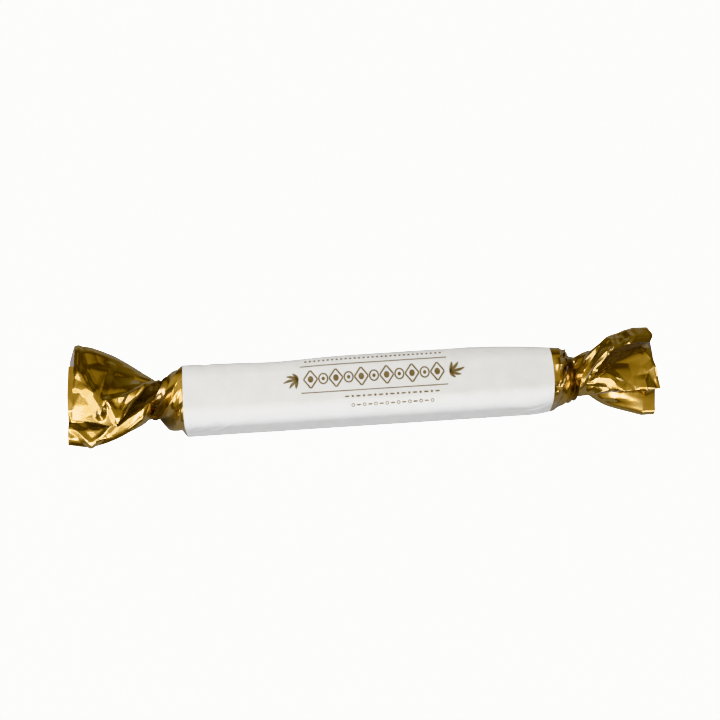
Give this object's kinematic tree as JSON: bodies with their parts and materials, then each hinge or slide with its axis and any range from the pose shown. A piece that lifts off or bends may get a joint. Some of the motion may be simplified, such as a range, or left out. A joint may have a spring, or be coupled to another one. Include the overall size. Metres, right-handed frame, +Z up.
{
  "type": "twist-wrapped nougat bar",
  "caption": "A stick of nougat shut in one sheet of gold foil printed white along the middle, with both ends twisted into necks and flared into open, creased tails.",
  "frame": {"origin": "the middle of the bar's flat underside, where it rests on a table", "axes": "+X runs along the bar towards the tail with the rolled top edge, +Y across it towards the side that the tails lean to, +Z up"},
  "size_m": [0.1068, 0.0202, 0.0112],
  "materials": {
    "foil": "thin gold foil, creased at the ends, with a matt white printed field along the bar"
  },
  "bodies": {
    "root": {"wrapper": "foil"}
  },
  "joints": []
}
